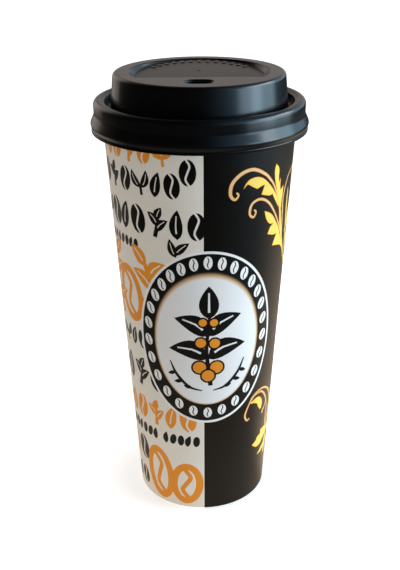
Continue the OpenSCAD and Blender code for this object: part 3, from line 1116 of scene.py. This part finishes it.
# %% Sizes of the lid
LID_T = 0.5
TOP_Z = 197.0
DOME_R, SHOULDER_R = 37.05, 1.8
GROOVE_IN_R, GROOVE_OUT_R, GROOVE_Z = 38.39, 40.89, 180.0
LEDGE_Z, LEDGE_W, LEDGE_DROP = 185.05, 1.2, 0.6
BEAD_Z, BEAD_ROUND, COLLAR_R, DRAFT, COLLAR_LOW_Z = 185.65, 2.2, 45.70, 0.1, 179.35
SKIRT_R, SKIRT_Z, TUCK, LIP_W, EDGE_Z = 47.30, 175.335, 1.2, 0.7, 172.55
SINK_R, SINK_SIDE, SINK_FRONT, SINK_BACK, FRONT_LEAN, CREASE_Y = 30.45, 3.0, 4.2, 0.6, 1.2, -15.55
SIP_Y, SIP_W, SIP_L, DISH_H, DISH_W = -24.55, 11.0, 7.5, 0.9, 0.7
VENT_Y, VENT_R = 11.0, 0.6
DASHES, DASH_L, DASH_W, DASH_H, DASH_R, DASH_SPREAD = 13, 1.8, 3.0, 0.3, 26.8, 100.0
SHOULDER_TURN = 94.5
CREASE_SOFT, FLOOR_SOFT, EDGE_SOFT, DISH_SOFT, DASH_FLANK = 1.2, 0.5, 0.35, 0.35, 0.4
print("lid", round(2 * SKIRT_R, 1), "mm wide")


# %% The heights of the lid's top
def softer_min(a, b, k):
    h = np.maximum(k - np.abs(a - b), 0) / k
    return np.minimum(a, b) - h * h * k / 4


def step01(t):
    t = np.clip(t, 0, 1)
    return t * t * (3 - 2 * t)


def slot_distance(x, y):
    """Distance outwards from the edge of the sip hole."""
    flat_half = (SIP_W - SIP_L) / 2
    return np.hypot(np.maximum(np.abs(x) - flat_half, 0), y - SIP_Y) - SIP_L / 2


def dash_distance(x, y):
    """Distance outwards from the nearest raised dash."""
    bearing = np.degrees(np.arctan2(x, y))
    pitch = DASH_SPREAD / (DASHES - 1)
    nearest = np.clip(np.round(bearing / pitch), -(DASHES // 2), DASHES // 2) * pitch
    along = np.abs(np.radians(bearing - nearest)) * DASH_R
    across = np.abs(np.hypot(x, y) - DASH_R)
    return np.hypot(along, np.maximum(across - (DASH_W - DASH_L) / 2, 0)) - DASH_L / 2


def top_height(x, y):
    side = (SINK_R - np.hypot(x, y)) * SINK_FRONT / SINK_SIDE
    front = (y - CREASE_Y) * SINK_FRONT / FRONT_LEAN
    floor_depth = SINK_BACK + (SINK_R - y) * (SINK_FRONT - SINK_BACK) / (SINK_R - CREASE_Y)
    depth = softer_min(softer_min(side, front, CREASE_SOFT), floor_depth, FLOOR_SOFT)
    sunk = -softer_min(-depth, 0.0 * x, EDGE_SOFT)
    dish = DISH_H * step01(1 - slot_distance(x, y) / (DISH_W + DISH_SOFT))
    raised = DASH_H * step01(1 - dash_distance(x, y) / DASH_FLANK)
    return TOP_Z - sunk - dish + raised


print("depth of the sunken part at the vent", round(float(TOP_Z - top_height(0.0, VENT_Y)), 2), "mm")


# %% Cut the lid's top into triangles
LID_COLUMNS = 192
TOP_RING_R = DOME_R - SHOULDER_R * tan(radians(90 - SHOULDER_TURN / 2))
lid_angles = [360 * i / LID_COLUMNS for i in range(LID_COLUMNS + 1)]


def ring(radius, count=LID_COLUMNS):
    return [turned(radius, 360 * i / count, 0)[:2] for i in range(count)]


def slot_ring(grow):
    flat_half, r = (SIP_W - SIP_L) / 2, SIP_L / 2 + grow
    right = [(flat_half + r * cos(t), SIP_Y + r * sin(t)) for t in np.linspace(-pi / 2, pi / 2, 25)]
    return right + [(-x, 2 * SIP_Y - y) for x, y in right]


def dash_ring(k, grow):
    """The outline of dash k, which lies on an arc about the axis."""
    bearing = (k - DASHES // 2) * DASH_SPREAD / (DASHES - 1)
    half, r = (DASH_W - DASH_L) / 2, DASH_L / 2 + grow
    back = [(r * cos(t), half + r * sin(t)) for t in np.linspace(0, pi, 7)]
    made = []
    for along, out in back + [(-a, -o) for a, o in back]:
        t = radians(bearing) + along / DASH_R
        made.append(((DASH_R + out) * sin(t), (DASH_R + out) * cos(t)))
    return made


def crease_line(shift):
    y = CREASE_Y + shift
    reach = sqrt((SINK_R + 0.5) ** 2 - y * y)
    return [(-reach, y), (reach, y)]


edge_steps = (3.0, 1.2, 0.5, 0.2, 0.1, 0, -0.1, -0.2, -0.4, -0.7)
slope_steps = (-1.0, -1.3, -1.6, -1.9, -2.2, -2.5, -2.8, -3.1, -3.5)
crease_steps = (-1.0, -0.3, -0.1, 0, 0.05, 0.1, 0.3, 0.5, 0.7, 0.9, 1.0, 1.1, 1.2, 1.35, 1.6, 2.2, 4.0)
loops = [ring(TOP_RING_R)] + [ring(SINK_R + step) for step in edge_steps + slope_steps]
loops += [ring(r, 96) for r in (20.5, 16.0, 11.0, 6.0)]
loops += [slot_ring(step) for step in (0, 0.15, 0.3, 0.5, 0.7, 0.9, 1.05, 1.3, 2.0)]
loops += [[(x, y + VENT_Y) for x, y in ring(r, 24)] for r in (VENT_R, 1.0)]
loops += [dash_ring(k, step) for k in range(DASHES) for step in (0, 0.2, DASH_FLANK)]
top_flat, top_faces, middles = cut_sheet(loops, [crease_line(step) for step in crease_steps])
in_holes = (slot_distance(*middles.T) < 0) | (np.hypot(middles[:, 0], middles[:, 1] - VENT_Y) < VENT_R)
top_faces = top_faces[~in_holes]
print(len(top_faces), "triangles in the lid's top")

# %% [markdown]
# ## The lid's plastic
#
# Formed plastic is glossy in the mould's smooth parts and faintly uneven, because the sheet was stretched while
# it was soft. A slow wave and a fine grain in the relief break up the long highlights on the bead and the skirt.

# %% Black formed plastic
LID_BLACK = (0.0035, 0.0035, 0.004, 1)
LID_ROUGH, PULL_ROUGH, SPECK_ROUGH, PULL_SHADE = 0.235, 0.05, 0.04, 0.2
PULL, SPECKS, SPECK_DEPTH, PULL_DEEPER = 55.0, 2600.0, 4e-6, 9.0

plastic = finish_named("black_formed_plastic", base_color=LID_BLACK, roughness=LID_ROUGH, ior=1.50)
place = plastic.here()
pull, specks = plastic.noise(place, PULL), plastic.noise(place, SPECKS)
plastic.feed("Base Color", plastic.shaded(LID_BLACK, 1 + PULL_SHADE * (pull - 0.5)))
plastic.feed("Roughness", LID_ROUGH + PULL_ROUGH * (pull - 0.5) + SPECK_ROUGH * (specks - 0.5))
plastic.feed("Normal", plastic.bump(specks + PULL_DEEPER * pull, SPECK_DEPTH))

# %% Build the lid
OUTER_BAND, UNDER_BAND, EDGE_BAND = (0.60, 0.99), (0.40, 0.59), (0.385, 0.395)
TOP_SCALE, TOP_AT, UNDER_SHIFT = 0.0052, (0.19, 0.19), (0.40, 0)
HOLES_ON_BAKE = [(0.80, 0.02), (0.81, 0.02), (0.81, 0.03), (0.80, 0.03)]
SMALL = 0.02

ledge_out_r = GROOVE_OUT_R + LEDGE_W
outer = rounded([
    (TOP_RING_R - 2, TOP_Z, 0), (DOME_R, TOP_Z, SHOULDER_R),
    (GROOVE_IN_R, GROOVE_Z, 0.8), (GROOVE_OUT_R, GROOVE_Z, 0.8),
    (GROOVE_OUT_R, LEDGE_Z, 0.7), (ledge_out_r, LEDGE_Z, 0.4), (ledge_out_r + LEDGE_DROP, BEAD_Z, 0.8),
    (COLLAR_R + DRAFT, BEAD_Z, BEAD_ROUND), (COLLAR_R - DRAFT, COLLAR_LOW_Z, 3), (SKIRT_R, SKIRT_Z, 2),
    (SKIRT_R - TUCK, EDGE_Z + 0.1, 0.3), (SKIRT_R - TUCK + LIP_W, EDGE_Z, 0),
])[1:]
outer[0] = np.array([TOP_RING_R, TOP_Z])
under = beside(outer, -LID_T)
under[0] = np.array([TOP_RING_R, TOP_Z - LID_T])

lid_sheet = Sheet()
for path, band in ((outer[::-1], OUTER_BAND), (under, UNDER_BAND), ([under[-1], outer[-1]], EDGE_BAND)):
    lid_sheet.spin(path, lid_angles, lambda _: 0, band)
on_rim = np.hypot(*top_flat.T) > TOP_RING_R - 1e-3
x, y = top_flat.T
heights = np.where(on_rim, TOP_Z, top_height(x, y))
slope_x = (top_height(x + SMALL, y) - top_height(x - SMALL, y)) / (2 * SMALL)
slope_y = (top_height(x, y + SMALL) - top_height(x, y - SMALL)) / (2 * SMALL)
facing = np.stack([-slope_x, -slope_y, np.ones(len(slope_x))], axis=1)
facing /= np.linalg.norm(facing, axis=1)[:, None]
upper = [(x, y, h) for (x, y), h in zip(top_flat, heights)]
lower = [(x, y, h - LID_T) for x, y, h in upper]
upper_place = top_flat * TOP_SCALE + TOP_AT
lower_place = upper_place + UNDER_SHIFT
sides = set()
for face in top_faces:
    lid_sheet.face([upper[i] for i in face], 0, [upper_place[i] for i in face], [facing[i] for i in face])
    back = face[::-1]
    lid_sheet.face([lower[i] for i in back], 0, [lower_place[i] for i in back], [-facing[i] for i in back])
    sides |= {(face[0], face[1]), (face[1], face[2]), (face[2], face[0])}
for a, b in sides:
    if (b, a) not in sides and not (on_rim[a] and on_rim[b]):
        lid_sheet.face([upper[b], upper[a], lower[a], lower[b]], 0, HOLES_ON_BAKE)
lid = lid_sheet.build("black_sip_lid", [plastic.material])
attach(lid, "lid")
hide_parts("lid")
